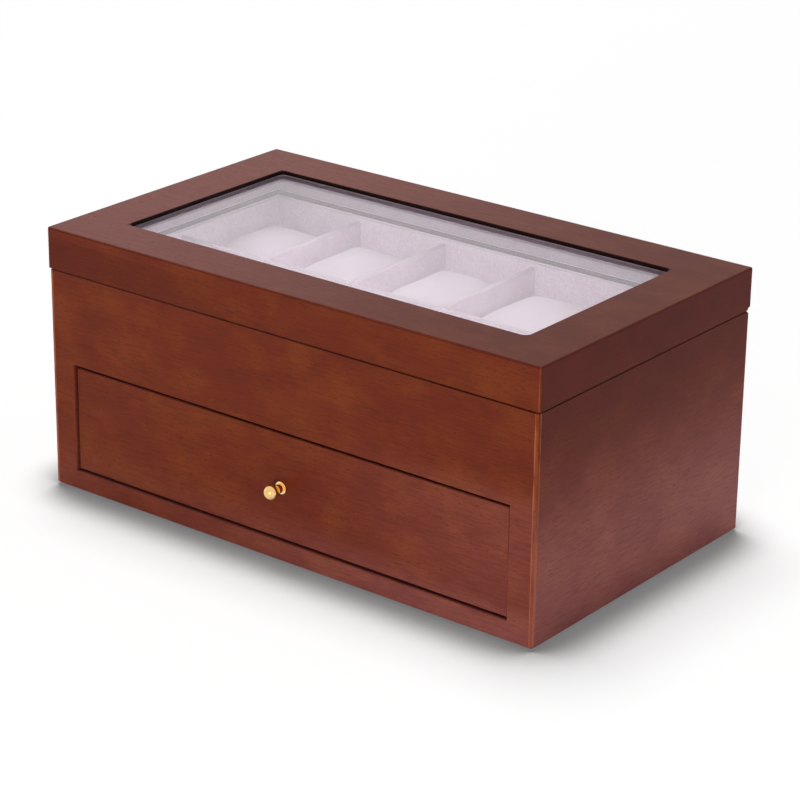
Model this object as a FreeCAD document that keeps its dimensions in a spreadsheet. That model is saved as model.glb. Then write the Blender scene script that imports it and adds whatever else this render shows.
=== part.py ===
import FreeCAD, Part
import math
import os
import re
import Sketcher
from FreeCAD import Placement, Rotation, Vector

# A wooden watch box: a mitred case with a lined tray of cushions, a glass-topped lid on a continuous hinge,
# and a drawer. X runs left to right along the front, Y runs to the back, Z is up from the surface it stands on.

# Driving dimensions in millimetres: name, value, meaning
sizes = [
    ("length", 330, "lid, left to right"),
    ("depth", 191.5, "lid, front to back"),
    ("height", 152, "floor to the top of the lid"),
    ("lid_height", 23.8, "lid, top to parting line"),
    ("lid_gap", 0.3, "lid over the case's rim"),
    ("lid_overhang", 0.3, "lid past the case at the front and sides"),
    ("case_wall", 9, "thickness of the case's boards and the lid's rails"),
    ("case_corner", 2, "rounding of the case's upright corners"),
    ("lid_corner", 0.8, "rounding of the lid's upright corners"),
    ("edge_bevel", 0.5, "bevel of boards at their visible edges"),
    ("top_round", 1.0, "rounding round the lid's top"),
    ("foot_bevel", 0.8, "bevel round the case's foot"),
    ("felt_thick", 1, "felt under the base"),
    ("felt_inset", 2.5, "felt inside the case's outline"),
    ("base_thick", 5, "base board"),
    ("base_rabbet", 5, "base board let into the walls"),
    ("shelf_thick", 4, "board between tray and drawer"),
    ("shelf_groove", 3, "shelf let into the walls"),
    ("shelf_clear", 3, "shelf above the drawer opening"),
    ("stile", 16.3, "case front beside the drawer opening"),
    ("opening_height", 62.7, "drawer opening"),
    ("opening_bottom", 12.5, "drawer opening above the floor"),
    ("lining_thick", 2, "fabric-covered board on the tray and lid walls"),
    ("lining_round", 0.8, "rounding of a covered board's edge"),
    ("floor_lining", 1.5, "lining on the tray floor"),
    ("tray_drop", 3.3, "tray lining below the case's rim"),
    ("lid_lining_rise", 1.1, "lid lining above the lid's lower edge"),
    ("columns", 5, "compartments, left to right"),
    ("divider_thick", 3, "fabric-covered divider"),
    ("divider_drop", 5.4, "divider tops below the case's rim"),
    ("divider_bevel", 1.0, "bevel of a divider's top"),
    ("lap_clear", 0.15, "each side of a divider in its lap slot"),
    ("cushion_height", 37, "cushion, floor to crown"),
    ("cushion_crown", 10, "crown above the cushion's shoulders"),
    ("cushion_side_clear", 1.2, "cushion to divider"),
    ("cushion_end_clear", 2.5, "cushion to tray wall and long divider"),
    ("cushion_seat", 0.3, "cushion above the lined floor"),
    ("cushion_tuck", 4.5, "sides and ends drawn in at the bottom and the shoulders"),
    ("cushion_end_height", 18, "end of the cushion, bottom to shoulder"),
    ("cushion_end_reach", 34, "length over which an end rounds off"),
    ("cushion_end_rise", 1, "end's curve carried on above the crown"),
    ("border", 31, "lid top, edge to window"),
    ("window_corner", 3.5, "rounding in the window's corners"),
    ("glass_lip", 2.6, "lid top over the glass"),
    ("glass_thick", 3, "glass pane"),
    ("glass_rabbet", 14, "lip over the glass, each side"),
    ("glass_clear", 0.5, "glass in its rabbet, each side"),
    ("retainer_thick", 2, "frame that holds the glass from below"),
    ("retainer_lap", 3.5, "that frame under the edge of the glass"),
    ("drawer_gap", 0.8, "drawer front in its opening, below and at the sides"),
    ("drawer_top_gap", 1.8, "drawer front in its opening, above"),
    ("drawer_recess", 1.5, "drawer front behind the case's face"),
    ("front_thick", 10, "drawer front"),
    ("front_rabbet", 6, "drawer sides let into the front"),
    ("side_thick", 8, "drawer sides and back"),
    ("side_inset", 1.2, "drawer sides inside the front's ends"),
    ("side_drop", 4, "drawer sides below the front's top edge"),
    ("bottom_thick", 3, "drawer bottom"),
    ("bottom_groove", 3, "drawer bottom let into its grooves"),
    ("bottom_rise", 3, "drawer bottom above the sides' lower edge"),
    ("drawer_lining", 1.5, "lining in the drawer"),
    ("drawer_lining_round", 0.5, "rounding of the drawer lining's edge"),
    ("runner_gap", 0.3, "drawer above its runners"),
    ("guide_gap", 0.4, "drawer to each guide"),
    ("guide_height", 16, "guide above the runner"),
    ("stop_gap", 0.3, "drawer to its stops"),
    ("stop_width", 24, "stop block, left to right"),
    ("stop_depth", 6.7, "stop block, front to back"),
    ("stop_height", 20, "stop block"),
    ("stop_spacing", 180, "between the two stop blocks"),
    ("knob_offset", 0.8, "knob to the right of the middle"),
    ("knob_length", 13.2, "knob, drawer front to tip"),
    ("flange_radius", 3.5, "knob's foot"),
    ("flange_thick", 1.6, "knob's foot"),
    ("neck_radius", 2.5, "knob's waist"),
    ("neck_length", 3.4, "knob's waist, from the foot"),
    ("head_radius", 4.3, "knob's head"),
    ("head_edge", 1.0, "straight edge of the knob's head"),
    ("head_dome", 3.2, "rise of the knob's face"),
    ("knob_screw_radius", 1.5, "screw that holds the knob"),
    ("knob_screw_grip", 6, "screw inside the knob"),
    ("knob_screw_head", 3, "radius of the screw's head"),
    ("knob_screw_head_thick", 2, "screw's head"),
    ("screw_clear", 0.05, "screw in its hole"),
    ("barrel_radius", 1.7, "hinge barrel"),
    ("barrel_clear", 0.3, "hinge barrel in its cove"),
    ("pin_radius", 0.8, "hinge pin"),
    ("pin_fit", 0.05, "hinge pin in its knuckles"),
    ("hinge_inset", 1.0, "barrel's centre inside the back face"),
    ("hinge_end", 1.5, "hinge short of the case's sides"),
    ("leaf_thick", 1.0, "hinge leaf"),
    ("leaf_margin", 1.2, "wood left past the edge of a hinge leaf"),
    ("leaf_clear", 0.1, "hinge leaf in its seat"),
    ("knuckles", 9, "knuckles on the barrel, both leaves"),
    ("knuckle_gap", 0.3, "between two knuckles"),
    ("hinge_screws", 4, "screws in each leaf"),
    ("hinge_screw_end", 31.1, "last screw from the end of its leaf"),
    ("hinge_screw_radius", 1.0, "hinge screw"),
    ("hinge_screw_length", 9, "hinge screw"),
]

# Sizes and places worked out from the driving dimensions
derived = {
    "case_length": "length - 2 * lid_overhang",
    "case_face": "lid_overhang - depth / 2",
    "back_face": "depth / 2",
    "lid_bottom": "height - lid_height",
    "case_top": "lid_bottom - lid_gap",
    "case_height": "case_top - felt_thick",
    "inner_half": "case_length / 2 - case_wall",
    "inner_front": "case_face + case_wall",
    "inner_back": "back_face - case_wall",
    "base_top": "felt_thick + base_thick",
    "shelf_bottom": "opening_bottom + opening_height + shelf_clear",
    "shelf_top": "shelf_bottom + shelf_thick",
    "tray_floor": "shelf_top + floor_lining",
    "tray_half": "inner_half - lining_thick",
    "tray_front": "inner_front + lining_thick",
    "tray_back": "inner_back - lining_thick",
    "tray_depth": "tray_back - tray_front",
    "tray_middle": "(tray_front + tray_back) / 2",
    "lining_height": "case_top - tray_drop - shelf_top",
    "divider_height": "case_top - divider_drop - tray_floor",
    "cell_width": "(2 * tray_half - (columns - 1) * divider_thick) / columns",
    "cell_depth": "(tray_depth - divider_thick) / 2",
    "cell_pitch": "cell_width + divider_thick",
    "row_pitch": "cell_depth + divider_thick",
    "cushion_half": "cell_width / 2 - cushion_side_clear",
    "cushion_half_length": "cell_depth / 2 - cushion_end_clear",
    "cushion_spring": "cushion_height - cushion_crown",
    "top_thick": "glass_lip + glass_thick",
    "top_bottom": "height - top_thick",
    "rail_height": "lid_height - top_thick",
    "lid_inner_half": "length / 2 - case_wall",
    "lid_inner_depth": "depth - 2 * case_wall",
    "window_half": "length / 2 - border",
    "window_half_depth": "depth / 2 - border",
    "retainer_bottom": "top_bottom - retainer_thick",
    "lid_lining_bottom": "lid_bottom + lid_lining_rise",
    "lid_lining_height": "retainer_bottom - lid_lining_bottom",
    "opening_width": "case_length - 2 * stile",
    "front_half": "opening_width / 2 - drawer_gap",
    "front_height": "opening_height - drawer_gap - drawer_top_gap",
    "drawer_bottom": "opening_bottom + drawer_gap",
    "drawer_face": "case_face + drawer_recess",
    "drawer_back": "inner_back - stop_depth - stop_gap",
    "side_half": "front_half - side_inset",
    "side_front": "drawer_face + front_thick - front_rabbet",
    "side_height": "front_height - side_drop",
    "box_half": "side_half - side_thick",
    "box_front": "drawer_face + front_thick",
    "box_back": "drawer_back - side_thick",
    "bottom_low": "drawer_bottom + bottom_rise",
    "bottom_high": "bottom_low + bottom_thick",
    "drawer_floor": "bottom_high + drawer_lining",
    "wall_lining_height": "drawer_bottom + side_height - bottom_high",
    "runner_top": "drawer_bottom - runner_gap",
    "guide_half": "side_half + guide_gap",
    "knob_height": "drawer_bottom + front_height / 2",
    "hinge_axis": "back_face - hinge_inset",
    "hinge_height": "case_top + lid_gap / 2",
    "hinge_length": "case_length - 2 * hinge_end",
    "cove_radius": "barrel_radius + barrel_clear",
    "leaf_reach": "case_wall - hinge_inset - leaf_margin",
    "knuckle_pitch": "hinge_length / knuckles",
    "hinge_screw_head": "hinge_screw_radius + leaf_thick",
    "hinge_screw_offset": "(cove_radius + leaf_reach) / 2",
    "hinge_screw_spacing": "(hinge_length - 2 * hinge_screw_end) / (hinge_screws - 1)",
}

quarter_turn = 90
half_turn = 180
full_turn = 360
same_place = 1e-4
diagonal = "sqrt(0.5)"
x_axis = Vector(1, 0, 0)
y_axis = Vector(0, 1, 0)
z_axis = Vector(0, 0, 1)

doc = FreeCAD.newDocument("WatchBox")
sheet = doc.addObject("Spreadsheet::Sheet", "Sheet")
for row, (alias, size, meaning) in enumerate(sizes, start=1):
    sheet.set(f"A{row}", alias)
    sheet.set(f"B{row}", str(size))
    sheet.set(f"C{row}", meaning)
    sheet.setAlias(f"B{row}", alias)
doc.recompute()
cells = {alias for alias, size, meaning in sizes}
pieces = []


# A formula in the sizes' own names, written out in cells of the sheet.
def formula(text):
    def expand(match):
        word = match.group(0)
        if word in derived:
            return "(" + formula(derived[word]) + ")"
        return "Sheet." + word if word in cells else word

    return re.sub(r"[A-Za-z_]\w*", expand, str(text))


def value(text):
    return float(sheet.evalExpression(formula(text)))


def bind(item, **formulas):
    for name, text in formulas.items():
        item.setExpression(name, formula(text))


def place(item, x=0, y=0, z=0, axis=z_axis, turn=0):
    item.Placement = Placement(Vector(value(x), value(y), value(z)), Rotation(axis, turn))
    for name, text in (("x", x), ("y", y), ("z", z)):
        item.setExpression(f"Placement.Base.{name}", formula(text))
    return item


# A finished piece, under its own name.
def piece(item, label):
    item.Label = label
    pieces.append(item)
    return item


def block(name, low, high):
    box = doc.addObject("Part::Box", name)
    bind(box, **{side: f"({b}) - ({a})" for side, a, b in zip(("Length", "Width", "Height"), low, high)})
    return place(box, *low)


def rod(name, radius, length, x, y, z, axis, turn):
    cylinder = doc.addObject("Part::Cylinder", name)
    bind(cylinder, Radius=radius, Height=length)
    return place(cylinder, x, y, z, axis, turn)


def cut(base, *tools):
    for tool in tools:
        made = doc.addObject("Part::Cut", base.Name + "_less_" + tool.Name)
        made.Base = base
        made.Tool = tool
        base = made
    doc.recompute()
    return base


def join(base, tool):
    made = doc.addObject("Part::Fuse", base.Name + "_with_" + tool.Name)
    made.Base = base
    made.Tool = tool
    doc.recompute()
    return made


def body(name):
    return doc.addObject("PartDesign::Body", name)


def sketch(owner, plane, name):
    drawing = owner.newObject("Sketcher::SketchObject", owner.Name + "_" + name)
    support = next(item for item in owner.Origin.OriginFeatures if item.Role == plane)
    drawing.AttachmentSupport = [(support, "")]
    drawing.MapMode = "FlatFace"
    return drawing


def fix(drawing, kind, geometry, point, text):
    index = drawing.addConstraint(Sketcher.Constraint(kind, -1, 1, geometry, point, value(text)))
    drawing.setExpression(f"Constraints[{index}]", formula(text))


def fix_radius(drawing, geometry, text):
    index = drawing.addConstraint(Sketcher.Constraint("Radius", geometry, value(text)))
    drawing.setExpression(f"Constraints[{index}]", formula(text))


# A closed outline, anticlockwise through its corners. The edge after a corner that is listed in arcs is
# an anticlockwise arc, given by its centre and radius.
def outline(drawing, corners, arcs=None):
    arcs = arcs or {}
    points = [Vector(value(x), value(y), 0) for x, y in corners]
    first = drawing.GeometryCount
    count = len(points)
    for index, start in enumerate(points):
        end = points[(index + 1) % count]
        if index in arcs:
            x, y, radius = arcs[index]
            centre = Vector(value(x), value(y), 0)
            angles = [math.atan2(p.y - centre.y, p.x - centre.x) for p in (start, end)]
            circle = Part.Circle(centre, z_axis, value(radius))
            drawing.addGeometry(Part.ArcOfCircle(circle, *angles), False)
        else:
            drawing.addGeometry(Part.LineSegment(start, end), False)
    for index, (x, y) in enumerate(corners):
        following = first + (index + 1) % count
        drawing.addConstraint(Sketcher.Constraint("Coincident", first + index, 2, following, 1))
        fix(drawing, "DistanceX", first + index, 1, x)
        fix(drawing, "DistanceY", first + index, 1, y)
    for index, (x, y, radius) in arcs.items():
        fix_radius(drawing, first + index, radius)
    return drawing


def ring(drawing, x, y, radius):
    centre = Vector(value(x), value(y), 0)
    geometry = drawing.addGeometry(Part.Circle(centre, z_axis, value(radius)), False)
    fix(drawing, "DistanceX", geometry, 3, x)
    fix(drawing, "DistanceY", geometry, 3, y)
    fix_radius(drawing, geometry, radius)
    return drawing


def rectangle(low, high):
    return [(low[0], low[1]), (high[0], low[1]), (high[0], high[1]), (low[0], high[1])]


def pad(owner, profile, length, side="One side"):
    feature = owner.newObject("PartDesign::Pad", profile.Name + "_pad")
    feature.Profile = profile
    feature.SideType = side
    bind(feature, Length=length)
    doc.recompute()
    return feature


# A pocket right through the piece, or to a depth on the side that the sketch's plane faces away from.
def pocket(owner, profile, depth=None, reverse=False):
    before = owner.Shape.Volume
    feature = owner.newObject("PartDesign::Pocket", profile.Name + "_pocket")
    feature.Profile = profile
    if depth is None:
        feature.SideType = "Symmetric"
        feature.Type = "ThroughAll"
    else:
        feature.Reversed = reverse
        bind(feature, Length=depth)
    doc.recompute()
    if owner.Shape.Volume >= before:
        raise RuntimeError(f"{profile.Name} cuts nothing")
    return feature


# Rounds or bevels the edges of a body whose ends and middle all pass a test, in the body's own frame.
def dress_edges(owner, test, kind, **size):
    base = owner.Tip
    names = []
    for number, edge in enumerate(base.Shape.Edges, start=1):
        spots = [vertex.Point for vertex in edge.Vertexes] + [edge.valueAt(sum(edge.ParameterRange) / 2)]
        if all(test(spot) for spot in spots):
            names.append(f"Edge{number}")
    if not names:
        raise RuntimeError(f"{owner.Name} has no edge to dress")
    feature = owner.newObject("PartDesign::" + kind, f"{owner.Name}_dressed_{len(owner.Group)}")
    feature.Base = (base, names)
    bind(feature, **size)
    doc.recompute()
    return feature


def round_edges(owner, radius, test):
    return dress_edges(owner, test, "Fillet", Radius=radius)


def bevel_edges(owner, size, test):
    return dress_edges(owner, test, "Chamfer", Size=size)


def near(a, b):
    return abs(a - b) < same_place


# A wall of a box, seen from outside: it runs along its own X, its outer face is at Y zero and its foot at
# Z zero. Its ends are mitred, and each carries half of the rounded corner.
def mitred_wall(name, run, wall, corner, height):
    owner = body(name)
    half = f"({run}) / 2"
    bend = f"{half} - {corner}"
    tip = f"{bend} + {corner} * {diagonal}"
    depth = f"{corner} - {corner} * {diagonal}"
    corners = [
        (f"-({bend})", "0"),
        (bend, "0"),
        (tip, depth),
        (f"{half} - {wall}", wall),
        (f"-({half} - {wall})", wall),
        (f"-({tip})", depth),
    ]
    arcs = {1: (bend, corner, corner), 5: (f"-({bend})", corner, corner)}
    pad(owner, outline(sketch(owner, "XY_Plane", "plan"), corners, arcs), height)
    return owner


# A test for the edges on the outer face of a wall, at its foot or its top.
def outer_edges(level, wall):
    z = value(level)
    middle = value(wall) / 2
    return lambda p: near(p.z, z) and p.y < middle


# The four walls of a box, each with its label, its length and where its outer face stands.
def box_walls(front, back, half):
    middle = f"(({front}) + ({back})) / 2"
    depth = f"({back}) - ({front})"
    length = f"2 * ({half})"
    return {
        "front": (length, ("0", front), 0),
        "right": (depth, (half, middle), quarter_turn),
        "back": (length, ("0", back), half_turn),
        "left": (depth, (f"-({half})", middle), -quarter_turn),
    }


# A covered board with its upper edge rounded: it runs along its own X, with its face at Y zero.
def strip(name, run, thick, height, fold):
    owner = body(name)
    shoulder = f"{height} - {fold}"
    corners = [
        ("0", "0"),
        (thick, "0"),
        (thick, shoulder),
        (f"{thick} - {fold}", height),
        (fold, height),
        ("0", shoulder),
    ]
    arcs = {2: (f"{thick} - {fold}", shoulder, fold), 4: (fold, shoulder, fold)}
    pad(owner, outline(sketch(owner, "YZ_Plane", "section"), corners, arcs), run, "Symmetric")
    return owner


# A row of screws along the hinge, each a countersunk head on a plain shank, or the holes that take them.
def screw_row(name, clear, turn):
    level = "hinge_height + lid_gap / 2" if turn == 0 else "hinge_height - lid_gap / 2"
    screws = []
    for number in range(int(value("hinge_screws"))):
        across = f"({number} - (hinge_screws - 1) / 2) * hinge_screw_spacing"
        spot = (across, "hinge_axis - hinge_screw_offset", level, x_axis, turn)
        shank = f"hinge_screw_radius + {clear}"
        head = doc.addObject("Part::Cone", f"{name}_head_{number}")
        bind(head, Radius1=f"hinge_screw_head + {clear}", Radius2=shank, Height="leaf_thick")
        place(head, *spot)
        reach = f"hinge_screw_length + {clear}"
        screws.append(join(head, rod(f"{name}_shank_{number}", shank, reach, *spot)))
    row = doc.addObject("Part::Compound", name)
    row.Links = screws
    doc.recompute()
    return row


# The room that a leaf of the hinge and the barrel take out of the wood, on one side of the parting line.
def hinge_seat(name, low, high):
    leaf = block(
        name + "_leaf",
        ("-(hinge_length / 2 + leaf_clear)", "hinge_axis - leaf_reach - leaf_clear", low),
        ("hinge_length / 2 + leaf_clear", "hinge_axis", high),
    )
    cove = rod(name + "_cove", "cove_radius", "length", "-length / 2", "hinge_axis", "hinge_height", y_axis, 90)
    return join(leaf, cove)


case_screw_holes = screw_row("case_screw_holes", "screw_clear", half_turn)
lid_screw_holes = screw_row("lid_screw_holes", "screw_clear", 0)
case_seat = hinge_seat("case_seat", "case_top - leaf_thick", "hinge_height")
lid_seat = hinge_seat("lid_seat", "hinge_height", "lid_bottom + leaf_thick")


# Case walls: rabbeted for the base, grooved for the shelf, with the drawer's opening in the front.
def case_wall(side, run, spot, turn):
    owner = mitred_wall("wall_" + side, run, "case_wall", "case_corner", "case_height")
    rabbet = rectangle(("case_wall - base_rabbet", "0"), ("case_wall", "base_thick"))
    pocket(owner, outline(sketch(owner, "YZ_Plane", "rabbet"), rabbet))
    groove_low = "shelf_bottom - felt_thick"
    groove = rectangle(
        ("case_wall - shelf_groove", groove_low),
        ("case_wall", f"{groove_low} + shelf_thick"),
    )
    pocket(owner, outline(sketch(owner, "YZ_Plane", "groove"), groove))
    if side == "front":
        sill = "opening_bottom - felt_thick"
        opening = rectangle(
            ("-opening_width / 2", sill),
            ("opening_width / 2", f"{sill} + opening_height"),
        )
        pocket(owner, outline(sketch(owner, "XZ_Plane", "opening"), opening))
        inside = value("opening_width + case_wall") / 2
        bevel_edges(owner, "edge_bevel", lambda p: near(p.y, 0) and abs(p.x) < inside)
    bevel_edges(owner, "foot_bevel", outer_edges("0", "case_wall"))
    if side != "back":
        bevel_edges(owner, "edge_bevel", outer_edges("case_height", "case_wall"))
    return place(owner, *spot, "felt_thick", z_axis, turn)


for side, (run, spot, turn) in box_walls("case_face", "back_face", "case_length / 2").items():
    wall = case_wall(side, run, spot, turn)
    if side != "front":
        wall = cut(wall, case_seat)
    piece(wall, "case_" + side)

base_half = "inner_half + base_rabbet"
piece(
    block(
        "base_board",
        (f"-({base_half})", "inner_front - base_rabbet", "felt_thick"),
        (base_half, "inner_back + base_rabbet", "base_top"),
    ),
    "case_base",
)
felt_half = "case_length / 2 - felt_inset"
piece(
    block(
        "felt",
        (f"-({felt_half})", "case_face + felt_inset", "0"),
        (felt_half, "back_face - felt_inset", "felt_thick"),
    ),
    "base_felt",
)
shelf_half = "inner_half + shelf_groove"
piece(
    block(
        "shelf",
        (f"-({shelf_half})", "inner_front - shelf_groove", "shelf_bottom"),
        (shelf_half, "inner_back + shelf_groove", "shelf_top"),
    ),
    "tray_shelf",
)


# Tray: lined walls that stop below the rim, a lined floor, dividers lapped together, and cushions.
for side, (run, spot, turn) in box_walls("inner_front", "inner_back", "inner_half").items():
    between = run if side in ("front", "back") else f"{run} - 2 * lining_thick"
    lining = strip("tray_strip_" + side, between, "lining_thick", "lining_height", "lining_round")
    piece(place(lining, *spot, "shelf_top", z_axis, turn), "tray_lining_" + side)
piece(
    block(
        "floor",
        ("-tray_half", "tray_front", "shelf_top"),
        ("tray_half", "tray_back", "tray_floor"),
    ),
    "tray_floor_lining",
)


# A divider along its own X, with lap slots half its height deep, cut from the top or from the bottom.
def divider(name, run, slots, from_top):
    owner = body(name)
    half = f"({run}) / 2"
    lap = "divider_height / 2"
    wide = "divider_thick / 2 + lap_clear"
    notches = []
    for spot in slots:
        notches += [(f"{spot} - ({wide})", False), (f"{spot} - ({wide})", True)]
        notches += [(f"{spot} + {wide}", True), (f"{spot} + {wide}", False)]
    if from_top:
        edge = [(x, lap if deep else "divider_height") for x, deep in reversed(notches)]
        corners = [(f"-{half}", "0"), (half, "0"), (half, "divider_height")] + edge
        corners.append((f"-{half}", "divider_height"))
    else:
        edge = [(x, lap if deep else "0") for x, deep in notches]
        corners = [(f"-{half}", "0")] + edge + [(half, "0")]
        corners += [(half, "divider_height"), (f"-{half}", "divider_height")]
    pad(owner, outline(sketch(owner, "XZ_Plane", "face"), corners), "divider_thick", "Symmetric")
    top = value("divider_height")
    side = value("divider_thick") / 2
    bevel_edges(owner, "divider_bevel", lambda p: near(p.z, top) and near(abs(p.y), side))
    return owner


columns = int(value("columns"))
crossings = [f"({n} - (columns - 2) / 2) * cell_pitch" for n in range(columns - 1)]
long_divider = divider("long_board", "2 * tray_half", crossings, True)
piece(place(long_divider, 0, "tray_middle", "tray_floor"), "tray_long_divider")
for number, crossing in enumerate(crossings, start=1):
    board = divider(f"cross_board_{number}", "tray_depth", ["0"], False)
    place(board, crossing, "tray_middle", "tray_floor", z_axis, quarter_turn)
    piece(board, f"tray_cross_divider_{number}")


# A cushion is what two outlines have in common: a crowned section with drawn-in sides, and a side view with
# drawn-in ends that round over.
def cushion(name):
    foot = "cushion_half - cushion_tuck"
    side = "((cushion_spring / 2) ^ 2 + cushion_tuck ^ 2) / (2 * cushion_tuck)"
    arch = f"(({foot}) ^ 2 + cushion_crown ^ 2) / (2 * cushion_crown)"
    section = body(name + "_section")
    corners = rectangle((f"-({foot})", "0"), (foot, "cushion_spring"))
    arcs = {
        1: (f"cushion_half - {side}", "cushion_spring / 2", side),
        2: ("0", f"cushion_height - {arch}", arch),
        3: (f"{side} - cushion_half", "cushion_spring / 2", side),
    }
    drawing = outline(sketch(section, "XZ_Plane", "outline"), corners, arcs)
    pad(section, drawing, "cell_depth", "Symmetric")

    end = "cushion_half_length - cushion_tuck"
    flat = "cushion_half_length - cushion_end_reach"
    top = "cushion_height + cushion_end_rise"
    run = "cushion_end_reach - cushion_tuck"
    rise = f"{top} - cushion_end_height"
    bulge = "((cushion_end_height / 2) ^ 2 + cushion_tuck ^ 2) / (2 * cushion_tuck)"
    round_over = f"(({run}) ^ 2 + ({rise}) ^ 2) / (2 * ({rise}))"
    view = body(name + "_view")
    corners = [
        (f"-({end})", "0"),
        (end, "0"),
        (end, "cushion_end_height"),
        (flat, top),
        (f"-({flat})", top),
        (f"-({end})", "cushion_end_height"),
    ]
    arcs = {
        1: (f"cushion_half_length - {bulge}", "cushion_end_height / 2", bulge),
        2: (flat, f"{top} - {round_over}", round_over),
        4: (f"-({flat})", f"{top} - {round_over}", round_over),
        5: (f"{bulge} - cushion_half_length", "cushion_end_height / 2", bulge),
    }
    pad(view, outline(sketch(view, "YZ_Plane", "outline"), corners, arcs), "cell_width", "Symmetric")

    made = doc.addObject("Part::MultiCommon", name)
    made.Shapes = [section, view]
    doc.recompute()
    return made


for row, side in (("front", -1), ("back", 1)):
    for number in range(1, columns + 1):
        item = cushion(f"pad_{row}_{number}")
        across = f"({number} - (columns + 1) / 2) * cell_pitch"
        place(item, across, f"tray_middle + {side} * row_pitch / 2", "tray_floor + cushion_seat")
        piece(item, f"cushion_{row}_{number}")


# Lid: four mitred rails under a top frame, whose window is rabbeted from below for the glass.
for side, (run, spot, turn) in box_walls("-depth / 2", "back_face", "length / 2").items():
    rail = mitred_wall("rail_" + side, run, "case_wall", "lid_corner", "rail_height")
    if side != "back":
        bevel_edges(rail, "edge_bevel", outer_edges("0", "case_wall"))
    rail = place(rail, *spot, "lid_bottom", z_axis, turn)
    if side != "front":
        rail = cut(rail, lid_seat)
    piece(rail, f"lid_{side}_rail")


def lid_top():
    owner = body("top_frame")
    plan = rectangle(("-length / 2", "-depth / 2"), ("length / 2", "depth / 2"))
    pad(owner, outline(sketch(owner, "XY_Plane", "plan"), plan), "top_thick")
    window = rectangle(("-window_half", "-window_half_depth"), ("window_half", "window_half_depth"))
    pocket(owner, outline(sketch(owner, "XY_Plane", "window"), window))
    wide = value("window_half")
    deep = value("window_half_depth")
    round_edges(owner, "window_corner", lambda p: near(abs(p.x), wide) and near(abs(p.y), deep))
    rabbet_wide = "window_half + glass_rabbet"
    rabbet_deep = "window_half_depth + glass_rabbet"
    rabbet = rectangle((f"-({rabbet_wide})", f"-({rabbet_deep})"), (rabbet_wide, rabbet_deep))
    pocket(owner, outline(sketch(owner, "XY_Plane", "rabbet"), rabbet), "glass_thick", True)
    half = value("length") / 2
    half_depth = value("depth") / 2
    round_edges(owner, "lid_corner", lambda p: near(abs(p.x), half) and near(abs(p.y), half_depth))
    top = value("top_thick")
    beyond = value("border") / 2

    def outside(p):
        return abs(p.x) > half - beyond or abs(p.y) > half_depth - beyond

    round_edges(owner, "top_round", lambda p: near(p.z, top) and outside(p))
    bevel_edges(owner, "edge_bevel", lambda p: near(p.z, top) and not outside(p))
    return place(owner, 0, 0, "top_bottom")


piece(lid_top(), "lid_top")

pane_half = "window_half + glass_rabbet - glass_clear"
pane_half_depth = "window_half_depth + glass_rabbet - glass_clear"
clear_half = f"{pane_half} - retainer_lap"
clear_half_depth = f"{pane_half_depth} - retainer_lap"
piece(
    block(
        "pane",
        (f"-({pane_half})", f"-({pane_half_depth})", "top_bottom"),
        (pane_half, pane_half_depth, "height - glass_lip"),
    ),
    "lid_glass",
)
retainer_board = block(
    "retainer_board",
    ("-lid_inner_half", "-lid_inner_depth / 2", "retainer_bottom"),
    ("lid_inner_half", "lid_inner_depth / 2", "top_bottom"),
)
retainer_window = block(
    "retainer_window",
    (f"-({clear_half})", f"-({clear_half_depth})", "retainer_bottom"),
    (clear_half, clear_half_depth, "top_bottom"),
)
piece(cut(retainer_board, retainer_window), "lid_glass_retainer")

lid_inner = box_walls("-lid_inner_depth / 2", "lid_inner_depth / 2", "lid_inner_half")
for side, (run, spot, turn) in lid_inner.items():
    between = run if side in ("front", "back") else f"{run} - 2 * lining_thick"
    lining = strip("lid_strip_" + side, between, "lining_thick", "lid_lining_height", "lining_round")
    upside_down = Rotation(z_axis, turn + half_turn).multiply(Rotation(x_axis, half_turn))
    place(lining, *spot, "retainer_bottom", z_axis, turn)
    lining.Placement.Rotation = upside_down
    piece(lining, "lid_lining_" + side)


# Continuous hinge: two leaves whose knuckles alternate on one pin. A leaf is drawn as the lid's, about the
# barrel's centre, and the case's leaf is the same form turned over.
def hinge_leaf(name, first, count, turn):
    owner = body(name)
    low = "lid_gap / 2"
    high = "lid_gap / 2 + leaf_thick"
    plate = rectangle(("-leaf_reach", low), ("-cove_radius", high))
    pad(owner, outline(sketch(owner, "YZ_Plane", "plate"), plate), "hinge_length", "Symmetric")
    lower = f"-sqrt(barrel_radius ^ 2 - ({low}) ^ 2)"
    upper = f"-sqrt(barrel_radius ^ 2 - ({high}) ^ 2)"
    section = [("-cove_radius", low), (lower, low), (upper, high), ("-cove_radius", high)]
    knuckle = sketch(owner, "YZ_Plane", "knuckle")
    start = f"{first} * knuckle_pitch + knuckle_gap / 2 - hinge_length / 2"
    knuckle.setExpression("AttachmentOffset.Base.z", formula(start))
    outline(knuckle, section, {1: ("0", "0", "barrel_radius")})
    roll = pad(owner, knuckle, "knuckle_pitch - knuckle_gap")
    row = owner.newObject("PartDesign::LinearPattern", name + "_knuckles")
    row.Originals = [roll]
    row.Direction = (next(item for item in owner.Origin.OriginFeatures if item.Role == "X_Axis"), [""])
    row.Occurrences = count
    bind(row, Length=f"{count - 1} * 2 * knuckle_pitch")
    owner.Tip = row
    doc.recompute()
    pocket(owner, ring(sketch(owner, "YZ_Plane", "bore"), "0", "0", "pin_radius + pin_fit"))
    return place(owner, 0, "hinge_axis", "hinge_height", y_axis, turn)


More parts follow.
